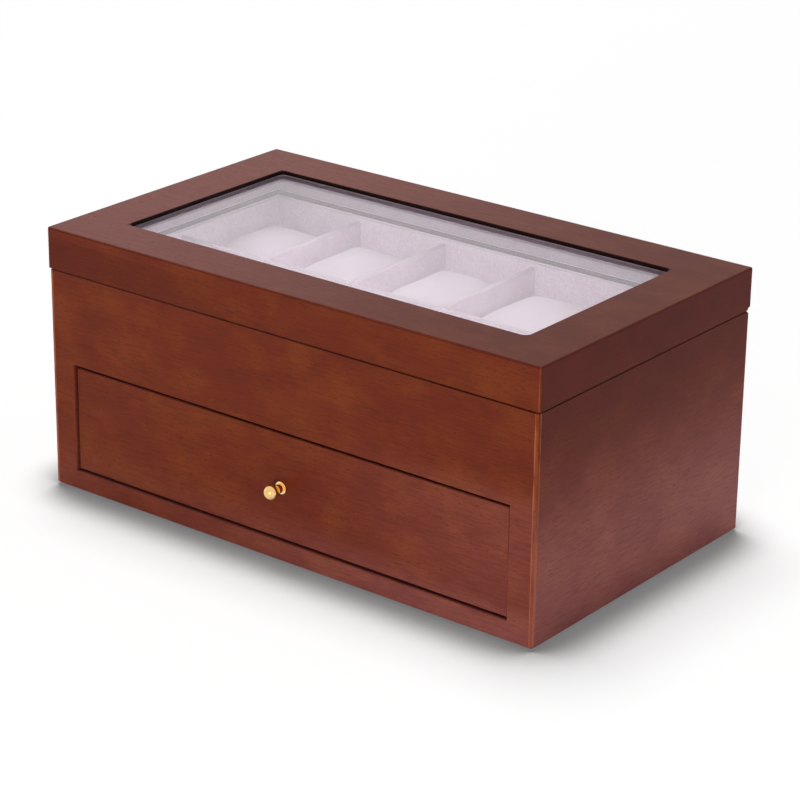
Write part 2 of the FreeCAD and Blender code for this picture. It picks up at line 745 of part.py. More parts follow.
knuckles = int(value("knuckles"))
lid_leaf = hinge_leaf("lid_leaf", 1, knuckles // 2, 0)
case_leaf = hinge_leaf("case_leaf", 0, (knuckles + 1) // 2, half_turn)
piece(cut(lid_leaf, lid_screw_holes), "hinge_lid_leaf")
piece(cut(case_leaf, case_screw_holes), "hinge_case_leaf")
piece(screw_row("lid_screws", "0", 0), "hinge_lid_screws")
piece(screw_row("case_screws", "0", half_turn), "hinge_case_screws")
pin = rod("pin", "pin_radius", "hinge_length", "-hinge_length / 2", "hinge_axis", "hinge_height", y_axis, 90)
piece(pin, "hinge_pin")


# Drawer: the sides are let into the front, and the bottom slides into grooves from behind.
knob_hole = rod(
    "knob_hole",
    "knob_screw_radius + screw_clear",
    "front_thick",
    "knob_offset",
    "drawer_face",
    "knob_height",
    x_axis,
    -quarter_turn,
)
knob_counterbore = rod(
    "knob_counterbore",
    "knob_screw_head + screw_clear",
    "knob_screw_head_thick",
    "knob_offset",
    "box_front - knob_screw_head_thick",
    "knob_height",
    x_axis,
    -quarter_turn,
)
bottom_half = "box_half + bottom_groove"
bottom_board = (
    (f"-({bottom_half})", "box_front - bottom_groove", "bottom_low"),
    (bottom_half, "drawer_back", "bottom_high"),
)


def drawer_front():
    owner = body("front_board")
    face = rectangle(("-front_half", "0"), ("front_half", "front_height"))
    drawing = outline(sketch(owner, "XZ_Plane", "face"), face)
    pad(owner, drawing, "front_thick")
    depth = value("front_thick")
    bevel_edges(owner, "edge_bevel", lambda p: near(p.y, -depth))
    place(owner, 0, "box_front", "drawer_bottom")
    sockets = [
        block(
            "side_socket_" + side,
            (low, "side_front", "drawer_bottom"),
            (high, "box_front", "drawer_bottom + front_height"),
        )
        for side, low, high in (
            ("left", "-front_half", "-box_half"),
            ("right", "box_half", "front_half"),
        )
    ]
    return cut(owner, *sockets, block("front_groove", *bottom_board), knob_hole, knob_counterbore)


piece(drawer_front(), "drawer_front")
for side, low, high in (("left", "-side_half", "-box_half"), ("right", "box_half", "side_half")):
    board = block(
        "side_board_" + side,
        (low, "side_front", "drawer_bottom"),
        (high, "drawer_back", "drawer_bottom + side_height"),
    )
    piece(cut(board, block("side_groove_" + side, *bottom_board)), "drawer_" + side)
piece(
    block(
        "back_board",
        ("-box_half", "box_back", "bottom_high"),
        ("box_half", "drawer_back", "drawer_bottom + side_height"),
    ),
    "drawer_back",
)
piece(block("bottom_board", *bottom_board), "drawer_bottom")
piece(
    block(
        "drawer_floor",
        ("-box_half", "box_front", "bottom_high"),
        ("box_half", "box_back", "drawer_floor"),
    ),
    "drawer_floor_lining",
)
for side, (run, spot, turn) in box_walls("box_front", "box_back", "box_half").items():
    between = run if side in ("front", "back") else f"{run} - 2 * drawer_lining"
    rise = "wall_lining_height - drawer_lining"
    lining = strip("drawer_strip_" + side, between, "drawer_lining", rise, "drawer_lining_round")
    piece(place(lining, *spot, "drawer_floor", z_axis, turn), "drawer_lining_" + side)


# Runners carry the drawer's sides and guide them, and two blocks stop the drawer at its closed place.
for side, sign, turn in (("left", -1, half_turn), ("right", 1, 0)):
    owner = body("runner_" + side)
    section = [
        ("box_half", "base_top"),
        ("inner_half", "base_top"),
        ("inner_half", "runner_top + guide_height"),
        ("guide_half", "runner_top + guide_height"),
        ("guide_half", "runner_top"),
        ("box_half", "runner_top"),
    ]
    drawing = outline(sketch(owner, "XZ_Plane", "section"), section)
    pad(owner, drawing, "inner_back - inner_front", "Symmetric")
    place(owner, 0, "(inner_front + inner_back) / 2", 0, z_axis, turn)
    piece(owner, "drawer_runner_" + side)

stops = doc.addObject("Part::Compound", "stops")
stops.Links = [
    block(
        "stop_" + side,
        (f"{sign} * stop_spacing / 2 - stop_width / 2", "drawer_back + stop_gap", "base_top"),
        (f"{sign} * stop_spacing / 2 + stop_width / 2", "inner_back", "runner_top + stop_height"),
    )
    for side, sign in (("left", -1), ("right", 1))
]
piece(stops, "drawer_stops")


# Knob: turned from its outline, drawn outwards from the drawer front along its own Y.
def knob():
    owner = body("turned_knob")
    rim = "knob_length - head_dome"
    face = "(head_radius ^ 2 + head_dome ^ 2) / (2 * head_dome)"
    corners = [
        ("0", "0"),
        ("flange_radius", "0"),
        ("flange_radius", "flange_thick"),
        ("neck_radius", "flange_thick"),
        ("neck_radius", "flange_thick + neck_length"),
        ("head_radius", f"{rim} - head_edge"),
        ("head_radius", rim),
        ("0", "knob_length"),
    ]
    arcs = {6: ("0", f"knob_length - {face}", face)}
    drawing = outline(sketch(owner, "XY_Plane", "profile"), corners, arcs)
    turned = owner.newObject("PartDesign::Revolution", "turned")
    turned.Profile = drawing
    turned.ReferenceAxis = (drawing, ["V_Axis"])
    turned.Angle = full_turn
    doc.recompute()
    return place(owner, "knob_offset", "drawer_face", "knob_height", x_axis, half_turn)


screw_reach = "front_thick - knob_screw_head_thick + knob_screw_grip"
knob_screw_shank = rod(
    "knob_screw_shank",
    "knob_screw_radius",
    screw_reach,
    "knob_offset",
    "drawer_face - knob_screw_grip",
    "knob_height",
    x_axis,
    -quarter_turn,
)
knob_screw_cap = rod(
    "knob_screw_cap",
    "knob_screw_head",
    "knob_screw_head_thick",
    "knob_offset",
    "box_front - knob_screw_head_thick",
    "knob_height",
    x_axis,
    -quarter_turn,
)
knob_socket = rod(
    "knob_socket",
    "knob_screw_radius + screw_clear",
    "knob_screw_grip + screw_clear",
    "knob_offset",
    "drawer_face - knob_screw_grip - screw_clear",
    "knob_height",
    x_axis,
    -quarter_turn,
)
piece(cut(knob(), knob_socket), "drawer_knob")
piece(join(knob_screw_shank, knob_screw_cap), "knob_screw")

doc.recompute()
for item in doc.Objects:
    if "Invalid" in item.State or "Error" in item.State:
        raise RuntimeError(f"{item.Name} failed: {item.State}")
for item in pieces:
    if item.Shape.isNull() or not item.Shape.isValid() or not item.Shape.Solids:
        raise RuntimeError(f"{item.Label} has no valid solid")

os.makedirs("parts", exist_ok=True)
for item in pieces:
    item.Shape.exportStep(f"parts/{item.Label}.step")
print(f"{len(pieces)} pieces written")
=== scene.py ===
import bpy
import math
from mathutils import Matrix, Vector, noise


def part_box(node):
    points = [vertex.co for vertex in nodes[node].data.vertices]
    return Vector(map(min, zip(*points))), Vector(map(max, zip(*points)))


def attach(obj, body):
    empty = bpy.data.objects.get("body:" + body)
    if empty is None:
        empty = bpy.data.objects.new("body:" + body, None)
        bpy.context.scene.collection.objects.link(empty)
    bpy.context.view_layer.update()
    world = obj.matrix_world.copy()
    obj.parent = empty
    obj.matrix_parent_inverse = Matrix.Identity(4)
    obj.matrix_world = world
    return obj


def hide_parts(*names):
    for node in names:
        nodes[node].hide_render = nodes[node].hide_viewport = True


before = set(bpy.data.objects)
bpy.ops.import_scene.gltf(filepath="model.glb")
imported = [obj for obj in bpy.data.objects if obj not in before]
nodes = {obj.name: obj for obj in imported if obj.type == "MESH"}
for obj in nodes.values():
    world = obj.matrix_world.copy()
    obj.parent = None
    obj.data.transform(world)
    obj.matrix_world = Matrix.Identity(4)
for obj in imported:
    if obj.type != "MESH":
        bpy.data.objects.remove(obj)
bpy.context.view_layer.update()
scene = bpy.context.scene
scene.view_settings.view_transform = "Standard"
print("frame loaded with", len(nodes), "nodes")


# shader maths

class Plug:  # a node's socket that takes part in sums
    def __init__(self, finish, socket):
        self.finish = finish
        self.socket = socket

    def other(self, name):  # another output of the same node
        return Plug(self.finish, self.socket.node.outputs[name])

    def sums(self, operation, first, second):
        return self.finish.add("ShaderNodeMath", {"operation": operation}, {0: first, 1: second})

    def __add__(self, more):
        return self.sums("ADD", self, more)

    def __radd__(self, more):
        return self.sums("ADD", more, self)

    def __sub__(self, less):
        return self.sums("SUBTRACT", self, less)

    def __rsub__(self, whole):
        return self.sums("SUBTRACT", whole, self)

    def __mul__(self, times):
        return self.sums("MULTIPLY", self, times)

    def __rmul__(self, times):
        return self.sums("MULTIPLY", times, self)

    def __truediv__(self, parts):
        return self.sums("DIVIDE", self, parts)

    def __rtruediv__(self, whole):
        return self.sums("DIVIDE", whole, self)

    def __abs__(self):
        return self.sums("ABSOLUTE", self, 0)


class Finish:  # the nodes of a material or of the world
    def __init__(self, owner):
        self.owner = owner
        owner.use_nodes = True
        self.tree = owner.node_tree
        self.tree.nodes.clear()

    def add(self, kind, settings=None, inputs=None, output=0):
        node = self.tree.nodes.new(kind)
        for name, setting in (settings or {}).items():
            if name == "stops":
                self.setStops(node.color_ramp.elements, setting)
            else:
                setattr(node, name, setting)
        for name, entry in (inputs or {}).items():
            if isinstance(entry, Plug):
                self.tree.links.new(entry.socket, node.inputs[name])
            else:
                node.inputs[name].default_value = entry
        return Plug(self, node.outputs[output]) if node.outputs else None

    def setStops(self, elements, stops):
        while len(elements) < len(stops):
            elements.new(1)
        for element, (place, shade) in zip(elements, stops):
            element.position = place
            element.color = shade

    def place(self):  # where a point is on the object, in metres
        return self.add("ShaderNodeTexCoord", output="Object")

    def facing(self):  # which way the surface looks, split in three
        return self.split(self.add("ShaderNodeTexCoord", output="Normal"))

    def split(self, vector):  # X, with Y and Z as its other outputs
        return self.add("ShaderNodeSeparateXYZ", {}, {0: vector})

    def join(self, first, second, third):
        return self.add("ShaderNodeCombineXYZ", {}, {0: first, 1: second, 2: third})

    def stretch(self, vector, scale, turn=0):
        turned = self.add("ShaderNodeMapping", {}, {"Vector": vector, "Rotation": (0, 0, turn)})
        return self.add("ShaderNodeMapping", {}, {"Vector": turned, "Scale": scale})

    def noise(self, vector, scale=1, detail=2, rough=0.5, twist=0):
        inputs = {"Vector": vector, "Scale": scale, "Detail": detail, "Roughness": rough, "Distortion": twist}
        return self.add("ShaderNodeTexNoise", {}, inputs)

    def ease(self, value, low, high, start=0, end=1):  # soft step from low to high
        inputs = {"Value": value, "From Min": low, "From Max": high, "To Min": start, "To Max": end}
        return self.add("ShaderNodeMapRange", {"interpolation_type": "SMOOTHSTEP"}, inputs)

    def mix(self, factor, first, second):  # from one colour to another
        return self.add("ShaderNodeMix", {"data_type": "RGBA"}, {0: factor, 6: first, 7: second}, 2)

    def choose(self, factor, first, second):  # from one vector to another
        return self.add("ShaderNodeMix", {"data_type": "VECTOR"}, {0: factor, 4: first, 5: second}, 1)

    def vectors(self, operation, first, second, output=0):
        return self.add("ShaderNodeVectorMath", {"operation": operation}, {0: first, 1: second}, output)

    def larger(self, first, second):
        return self.add("ShaderNodeMath", {"operation": "MAXIMUM"}, {0: first, 1: second})

    def smaller(self, first, second):
        return self.add("ShaderNodeMath", {"operation": "MINIMUM"}, {0: first, 1: second})

    def bump(self, height, strength, depth):
        return self.add("ShaderNodeBump", {}, {"Height": height, "Strength": strength, "Distance": depth})

    def shine(self, **inputs):  # the main shader, with words for its sockets
        words = {name.replace("_", " "): entry for name, entry in inputs.items()}
        return self.add("ShaderNodeBsdfPrincipled", {}, words)

    def either(self, factor, first, second):  # from one shader to another
        return self.add("ShaderNodeMixShader", {}, {0: factor, 1: first, 2: second})

    def show(self, shader, output="ShaderNodeOutputMaterial"):
        self.add(output, {}, {"Surface": shader})
        return self.owner


def startFinish(name):
    return Finish(bpy.data.materials.new(name))


def colour(red, green, blue):  # a screen colour, 0 to 255, as light
    def light(part):
        part = part / 255
        return part / 12.92 if part <= 0.04045 else ((part + 0.055) / 1.055) ** 2.4

    return (light(red), light(green), light(blue), 1)


def wear(names, material):  # puts a material on CAD nodes
    for name in names:
        mesh = nodes[name].data
        mesh.materials.clear()
        mesh.materials.append(material)


# suede-like lining, whose colour is on the wood's inner faces too; darker copies of it on the dividers,
# drawer and lid are painted shade

liningCloth = {
    "tray": {"pale": colour(254, 240, 251), "deep": colour(238, 220, 233), "edge": colour(254, 240, 251)},
    # the dividers, drawer and lid get darker copies of the tray's suede, as painted shade
    "divider": {"pale": colour(245, 231, 242), "deep": colour(231, 214, 226), "edge": colour(198, 186, 195)},
    "drawer": {"pale": colour(228, 216, 225), "deep": colour(214, 200, 210), "edge": colour(228, 216, 225)},
    "lid": {"pale": colour(196, 181, 192), "deep": colour(180, 163, 175), "edge": colour(196, 181, 192)},
    # painted shadow for the gap between the tray lining and the lid lining
    "gapShade": colour(86, 60, 76),
    # painted light: a paler strip along the top of the lid lining
    "lidLitBand": (0.0055, 0.003),  # below the lid lining's top, where it turns pale
    "napSize": 0.0013,
    "patchSize": 0.012,
    "roughness": 0.92,
    "sheen": 0.1,
    "shine": 0.15,
    "relief": 0.35,
    "reliefDepth": 0.0004,
}
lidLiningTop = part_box("lid_lining_back")[1].z


def makeLining(name, tones):
    style = liningCloth
    finish = startFinish(name)
    place = finish.place()
    nap = finish.noise(place, 1 / style["napSize"], 3, 0.65)
    patch = finish.noise(place, 1 / style["patchSize"], 3, 0.55)
    cloth = finish.mix(finish.ease(nap * 0.7 + patch * 0.3, 0.38, 0.62), tones["deep"], tones["pale"])
    # upward faces take the edge colour, which on the dividers is darker: a painted shade on their tops
    cloth = finish.mix(finish.ease(finish.facing().other("Z"), 0.4, 0.8), cloth, tones["edge"])
    height = finish.split(place).other("Z")
    # near the lid lining's top the cloth is painted paler, a painted light band
    litBand = finish.ease(height, *(lidLiningTop - drop for drop in style["lidLitBand"]))
    cloth = finish.mix(litBand, cloth, style["tray"]["pale"])
    rough = style["roughness"] - nap * 0.08
    relief = finish.bump(nap, style["relief"], style["reliefDepth"])
    shader = finish.shine(
        Base_Color=cloth,
        Roughness=rough,
        Normal=relief,
        Sheen_Weight=style["sheen"],
        Specular_IOR_Level=style["shine"],
    )
    return finish.show(shader)


lined = [name for name in nodes if "lining" in name or "divider" in name]
wear(lined, makeLining("lining_suede", liningCloth["tray"]))
# the dividers, drawer and lid wear darker copies of the suede, as painted shade
wear([name for name in lined if "divider" in name], makeLining("divider_suede_painted_shade", liningCloth["divider"]))
drawerLined = [name for name in lined if name.startswith("drawer")]
wear(drawerLined, makeLining("drawer_suede_painted_shade", liningCloth["drawer"]))
lidLined = [name for name in lined if name.startswith("lid")]
wear(lidLined, makeLining("lid_lining_suede_painted_shade_and_light", liningCloth["lid"]))
print("lining on", len(lined), "boards")


# stained wood under satin lacquer, with places and sizes in metres

stainedWood = {
    "dark": colour(104, 39, 21),
    "plain": colour(111, 44, 21),
    "warm": colour(120, 53, 21),
    "fleck": colour(64, 21, 12),
    # dark colour of painted shade, at the lid's parting line and the window's sawn edge
    "joint": colour(26, 7, 5),
    "wornLitColour": colour(172, 96, 58),
    "lipPaleLine": colour(160, 146, 146),
    "paintedSheen": colour(168, 101, 92),
    "deepPaintedSheen": colour(154, 88, 86),
    "topSheen": colour(116, 66, 60),
    "topShadeColour": (0.54, 0.5, 0.5),
    "endShadeColour": (0.64, 0.26, 0.12),
    "railTint": (0.8, 0.78, 0.78),
    "roughness": 0.4,
    "shine": 0.08,
    "relief": 0.1,
    "reliefDepth": 0.0002,
    "patchSize": 0.02,
    "figureSize": 0.06,
    "fibreWidth": 0.0008,
    "fibreStrength": 0.28,
    "fleckWidth": 0.0006,
    "fleckStrength": (0.2, 0.65),
    "caseShift": (0.0, 0.0, 0.0),  # where each piece was cut from the board
    "lidShift": (0.07, 0.4, 0.09),
    "drawerShift": (1.3, 0.7, 0.23),
    "footSheen": {"height": 0.036, "across": (-0.12, 0.16), "strength": (0.15, 0.7)},
    "rightSheen": {"height": (0.09, 0.07), "across": (0.0, 0.16), "strength": 0.25},
    "endSheen": {"height": 0.12, "across": (-0.05, 0.05), "left": 0.3},
    "endShade": (0.05, 0.15),
    "railShade": (0.06, -0.165),
    "topSheenSpread": {"across": (0.16, -0.165), "strength": 0.85},
    "cornerRound": 0.002,
    "lidRound": 0.0008,
    "lidWornLit": 0.6,
    "jointWidth": 0.0003,
    "jointAcross": {"places": (-0.16, 0.16), "left": 0.2},
    "jointAlong": {"places": (0.05, -0.09), "back": 0.4},
    "edgeWidth": 0.0007,
    "edgeStrength": 0.6,
    "paperEdge": (0.0006, 0.0004),
    "shelfEdge": 0.001,
    "lipEdge": (0.0006, 0.0003),
    "lipPaleLineHeights": (0.0004, 0.0002),
    "gapLow": (0.0005, 0.0009),
    "gapHigh": 0.0002,
}
noJoint = -1.0  # a height that no piece reaches
paneHidden = 0.0135  # the pane runs this far under the lid's top
caseLow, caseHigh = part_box("case_front")
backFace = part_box("case_back")[1].y
lidLow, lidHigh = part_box("lid_front_rail")[0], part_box("lid_top")[1]
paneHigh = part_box("lid_glass")[1]
windowHalf = paneHigh.x - paneHidden
windowHalfDepth = paneHigh.y - paneHidden
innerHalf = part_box("tray_lining_right")[1].x
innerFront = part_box("tray_lining_front")[0].y
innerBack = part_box("tray_lining_back")[1].y
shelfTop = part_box("tray_shelf")[1].z
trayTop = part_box("tray_lining_back")[1].z


# the grain runs along Y on the ends, along X elsewhere
def grainPlace(finish, axes, endFace, shift):
    turned = finish.join(axes.other("Y"), axes, axes.other("Z"))
    straight = finish.join(axes, axes.other("Y"), axes.other("Z"))
    return finish.vectors("ADD", finish.choose(endFace, straight, turned), shift)


# where an upright corner turns, the stain is worn thin and a highlight is painted along it
def cornerMask(finish, place, axes, half, front, back, reach):
    middle = (front + back) / 2
    across = finish.larger(abs(axes) - (half - reach), 0.0)
    along = finish.larger(abs(axes.other("Y") - middle) - (back - middle - reach), 0.0)
    bend = across * along / (reach * reach)  # 0 where the corner starts, 0.5 half way round
    patchy = finish.noise(finish.stretch(place, (500, 500, 70)), detail=3)
    edges = finish.ease(bend, 0.02, 0.12) * finish.ease(bend, 0.28, 0.46, 1.0, 0.35)
    return edges * finish.ease(patchy, 0.3, 0.62, 0.25, 0.9)


def innerMask(finish, axes):  # faces inside the walls, above the shelf, carry lining paper
    depth = abs(axes.other("Y") - (innerFront + innerBack) / 2) - (innerBack - innerFront) / 2
    inside = finish.larger(abs(axes) - innerHalf, depth)
    above = finish.ease(axes.other("Z"), shelfTop - stainedWood["shelfEdge"], shelfTop)
    return finish.ease(inside, *stainedWood["paperEdge"]) * above


def lipMask(finish, axes):  # the window's sawn edge is painted near black, a painted shade
    inside = finish.larger(abs(axes) - windowHalf, abs(axes.other("Y")) - windowHalfDepth)
    return finish.ease(inside, *stainedWood["lipEdge"])


def paintedSheenMask(finish, axes, endFace):  # painted sheen standing in for the floor's reflection, low down and to the right
    foot, right, ends = (stainedWood[name] for name in ("footSheen", "rightSheen", "endSheen"))
    height = axes.other("Z")
    low = finish.ease(height, foot["height"], 0.0) * finish.ease(axes, *foot["across"], *foot["strength"])
    side = finish.ease(height, *right["height"]) * finish.ease(axes, *right["across"], 0.0, right["strength"])
    end = finish.ease(height, ends["height"], 0.0) * finish.ease(axes, *ends["across"], ends["left"], 1.0)
    return finish.larger(finish.larger(low, side) * (1 - endFace), end * endFace)


# painted shade along the line where lid and case meet, faint at the back and left
def partingShadeMask(finish, axes, facing, joint):
    width, across, along = (stainedWood[name] for name in ("jointWidth", "jointAcross", "jointAlong"))
    near = finish.ease(abs(axes.other("Z") - joint), width * 2, width)
    near = near * finish.ease(abs(facing.other("Z")), 0.9, 0.5)
    near = near * finish.ease(axes, *across["places"], across["left"], 1.0)
    return near * finish.ease(axes.other("Y"), *along["places"], along["back"], 1.0)


def makeStainedWood(name, shift, joint, piece):
    style = stainedWood
    finish = startFinish(name)
    place = finish.place()
    axes = finish.split(place)
    height = axes.other("Z")
    facing = finish.facing()
    endFace = finish.ease(abs(facing), 0.69, 0.72)
    topFace = finish.ease(facing.other("Z"), 0.5, 0.9)
    grain = grainPlace(finish, axes, endFace, shift)
    size = 1 / style["patchSize"]
    patch = finish.noise(finish.stretch(grain, (size * 0.8, size, size)), detail=4, rough=0.55)
    size = 1 / style["figureSize"]
    figure = finish.noise(finish.stretch(grain, (size, size * 2, size * 2)), detail=2, twist=0.8)
    thin = 1 / style["fibreWidth"]
    fibre = finish.noise(finish.stretch(grain, (thin / 14, thin, thin)), detail=3, rough=0.6)
    fine = 1 / style["fleckWidth"]
    fleck = finish.noise(finish.stretch(grain, (fine / 6, fine, fine)), detail=2, rough=0.6)
    tint = finish.ease(patch * 0.6 + figure * 0.4, 0.32, 0.68)
    stops = [(0.0, style["dark"]), (0.5, style["plain"]), (1.0, style["warm"])]
    stain = finish.add("ShaderNodeValToRGB", {"stops": stops}, {0: tint})
    # painted sheen for the floor's reflection, low on the front and right and on the ends
    glow = paintedSheenMask(finish, axes, endFace)
    stain = finish.mix(glow, stain, finish.mix(tint, style["deepPaintedSheen"], style["paintedSheen"]))
    # the end faces are painted darker higher up, a painted shade
    darker = finish.choose(finish.ease(height, *style["endShade"]) * endFace, (1, 1, 1), style["endShadeColour"])
    if piece == "rail":
        shaded = finish.ease(axes, *style["railShade"]) * (1 - endFace)
        darker = finish.choose(shaded, darker, style["railTint"])
    # top faces are painted darker, a painted shade
    darker = finish.choose(topFace, darker, style["topShadeColour"])
    stain = finish.vectors("MULTIPLY", stain, darker)
    # the top is painted paler and pinker towards the left, a painted sheen
    sheenSpread = style["topSheenSpread"]
    sheened = topFace * finish.ease(axes, *sheenSpread["across"], 0.0, sheenSpread["strength"])
    stain = finish.mix(sheened, stain, style["topSheen"])
    stain = finish.mix(finish.ease(fibre, 0.38, 0.72) * style["fibreStrength"], stain, style["fleck"])
    flecks = finish.ease(fleck, 0.56, 0.7) * finish.ease(patch, 0.35, 0.65, *style["fleckStrength"])
    flecks = flecks * (1 - glow * 0.65) * (1 + topFace * 0.4)
    stain = finish.mix(flecks, stain, style["fleck"])
    if piece == "case":
        # worn stain and a painted highlight along the case's upright corners
        wornLitMask = cornerMask(finish, place, axes, caseHigh.x, caseLow.y, backFace, style["cornerRound"])
        stain = finish.mix(wornLitMask, stain, style["wornLitColour"])
    if piece in ("rail", "top"):
        # worn stain and a painted highlight along the lid's upright corners
        wornLitMask = cornerMask(finish, place, axes, lidHigh.x, lidLow.y, lidHigh.y, style["lidRound"])
        stain = finish.mix(wornLitMask * style["lidWornLit"], stain, style["wornLitColour"])
    # painted shade along the parting line between lid and case
    stain = finish.mix(partingShadeMask(finish, axes, facing, joint), stain, style["joint"])
    if piece == "top":
        width = style["edgeWidth"]
        edge = finish.ease(abs(height - lidHigh.z + width), width, 0.0, 0.0, style["edgeStrength"])
        stain = finish.mix(edge * (1 - topFace), stain, style["fleck"])
        # a pale line along the lowest part of the window's sawn edge
        lipPaleLine = finish.ease(height, *(paneHigh.z + rise for rise in style["lipPaleLineHeights"]))
        # the window's sawn edge is painted near black as painted shade
        stain = finish.mix(lipMask(finish, axes), stain, finish.mix(lipPaleLine, style["joint"], style["lipPaleLine"]))
    if piece in ("case", "rail"):
        # between the tray lining and the lid lining the inner wall is painted dark, a painted shadow in the
        # gap
        bare = finish.ease(height, *(trayTop + rise for rise in style["gapLow"]))
        bare = bare * finish.ease(height, lidLow.z, lidLow.z - style["gapHigh"])
        paper = finish.mix(bare, liningCloth["tray"]["pale"], liningCloth["gapShade"])
        stain = finish.mix(innerMask(finish, axes), stain, paper)
    rough = style["roughness"] + fibre * 0.1 - patch * 0.06
    relief = finish.bump(fibre * 0.6 + fleck * 0.4, style["relief"], style["reliefDepth"])
    shader = finish.shine(
        Base_Color=stain, Roughness=rough, Normal=relief, Specular_IOR_Level=style["shine"]
    )
    return finish.show(shader)


caseWood = makeStainedWood("case_wood", stainedWood["caseShift"], caseHigh.z, "case")
wear(["case_front", "case_back", "case_left", "case_right"], caseWood)
railWood = makeStainedWood("lid_rail_wood", stainedWood["lidShift"], lidLow.z, "rail")
wear(["lid_front_rail", "lid_back_rail", "lid_left_rail", "lid_right_rail"], railWood)
wear(["lid_top"], makeStainedWood("lid_top_wood", stainedWood["lidShift"], noJoint, "top"))
wear(["drawer_front"], makeStainedWood("drawer_wood", stainedWood["drawerShift"], noJoint, "drawer"))
print("stained wood on the case, lid and drawer front")


# plain inner boards

plainWood = {
    "bare": {"pale": colour(196, 158, 112), "deep": colour(160, 116, 74)},
    "painted": {"pale": colour(250, 240, 248), "deep": colour(244, 233, 241)},
    "roughness": 0.68,
    "fibreWidth": 0.0014,
    "relief": 0.2,
    "reliefDepth": 0.0002,
}


def makePlainWood(name, tones, turn=0):
    style = plainWood
    finish = startFinish(name)
    place = finish.place()
    thin = 1 / style["fibreWidth"]
    ring = finish.noise(finish.stretch(place, (5, 70, 70), turn), detail=3, twist=0.8)
    fibre = finish.noise(finish.stretch(place, (thin / 25, thin, thin), turn), detail=3)
    wood = finish.mix(finish.ease(ring * 0.7 + fibre * 0.3, 0.3, 0.7), tones["pale"], tones["deep"])
    rough = style["roughness"] + fibre * 0.12
    relief = finish.bump(fibre, style["relief"], style["reliefDepth"])
    return finish.show(finish.shine(Base_Color=wood, Roughness=rough, Normal=relief))


plainBoards = ["case_base", "tray_shelf", "drawer_back", "drawer_bottom", "drawer_stops"]
sideBoards = ["drawer_left", "drawer_right", "drawer_runner_left", "drawer_runner_right"]
wear(plainBoards, makePlainWood("plain_wood", plainWood["bare"]))
wear(sideBoards, makePlainWood("plain_wood_side", plainWood["bare"], math.pi / 2))
wear(["lid_glass_retainer"], makePlainWood("painted_wood", plainWood["painted"]))
print("plain wood on the hidden boards")


# felt under the base

feltPad = {
    "deep": colour(24, 15, 13),
    "pale": colour(52, 38, 35),
    "fuzz": 0.0012,
    "roughness": 0.95,
    "relief": 0.6,
    "reliefDepth": 0.0006,
}


def makeFelt():
    style = feltPad
    finish = startFinish("base_felt_cloth")
    fuzz = finish.noise(finish.place(), 1 / style["fuzz"], 4, 0.7)
    cloth = finish.mix(finish.ease(fuzz, 0.3, 0.7), style["deep"], style["pale"])
    rough = style["roughness"] - fuzz * 0.05
    relief = finish.bump(fuzz, style["relief"], style["reliefDepth"])
    return finish.show(finish.shine(Base_Color=cloth, Roughness=rough, Normal=relief))


wear(["base_felt"], makeFelt())
print("felt under the base")


# brass

brass = {
    "bright": colour(250, 216, 158),
    "deep": colour(240, 192, 122),
    "knobRoughness": 0.08,
    "hingeRoughness": 0.18,
    "smudge": 0.006,
    "scratch": (900, 5000, 900),
}


def makeBrass(name, rough):
    finish = startFinish(name)
    place = finish.place()
    smudge = finish.noise(place, 1 / brass["smudge"], 3, 0.6)
    scratch = finish.noise(finish.stretch(place, brass["scratch"]), detail=2)
    metal = finish.mix(finish.ease(smudge, 0.3, 0.7), brass["bright"], brass["deep"])
    polish = rough + smudge * 0.1 + scratch * 0.04
    return finish.show(finish.shine(Base_Color=metal, Roughness=polish, Metallic=1.0))


hingePieces = [name for name in nodes if name.startswith("hinge")]
wear(["drawer_knob", "knob_screw"], makeBrass("knob_brass", brass["knobRoughness"]))
wear(hingePieces, makeBrass("hinge_brass", brass["hingeRoughness"]))
print("brass on the knob and hinge")


# glass

pane = {
    "tint": (1.0, 0.965, 0.99, 1),
    "gleam": (1.0, 0.74, 0.93, 1),
    "shade": (0.1, 0.1, 0.1, 1),
    "bend": 1.58,
    "smear": 0.05,
    "smearRoughness": 0.03,
}


def makeGlass():
    finish = startFinish("lid_pane_glass")
    smear = finish.noise(finish.place(), 1 / pane["smear"], 2)
    body = finish.shine(
        Base_Color=pane["tint"],
        Roughness=finish.ease(smear, 0.45, 0.8, 0.0, pane["smearRoughness"]),
        IOR=pane["bend"],
        Specular_Tint=pane["gleam"],
        Transmission_Weight=1.0,
    )
    clear = finish.add("ShaderNodeBsdfTransparent", {}, {"Color": pane["shade"]})
    lamps = finish.add("ShaderNodeLightPath", output="Is Shadow Ray")  # lamps shine in, but dimly
    return finish.show(finish.either(lamps, body, clear))


wear(["lid_glass"], makeGlass())
print("glass in the lid")


# soft cushions

cushionCover = {
    "pale": colour(213, 202, 212),
    "deep": colour(206, 193, 203),
    "weave": 0.0006,
    "drift": 30,
    "roughness": 0.8,
    "sheen": 0.35,
    "shine": 0.2,
    "relief": 0.15,
    "reliefDepth": 0.0002,
}
cushionForm = {
    "shrink": 0.97,
    "voxel": 0.005,
    "pressure": 4.0,
    "frames": 20,
    "swell": 0.004,
    "sideRoom": 0.0006,
    "endRoom": 0.0008,
    "unevenness": 0.0006,
    "unevenScale": 45,
    "unevenStep": 7.3,
    "unevenReach": 0.03,
    "fill": 0.85,
}


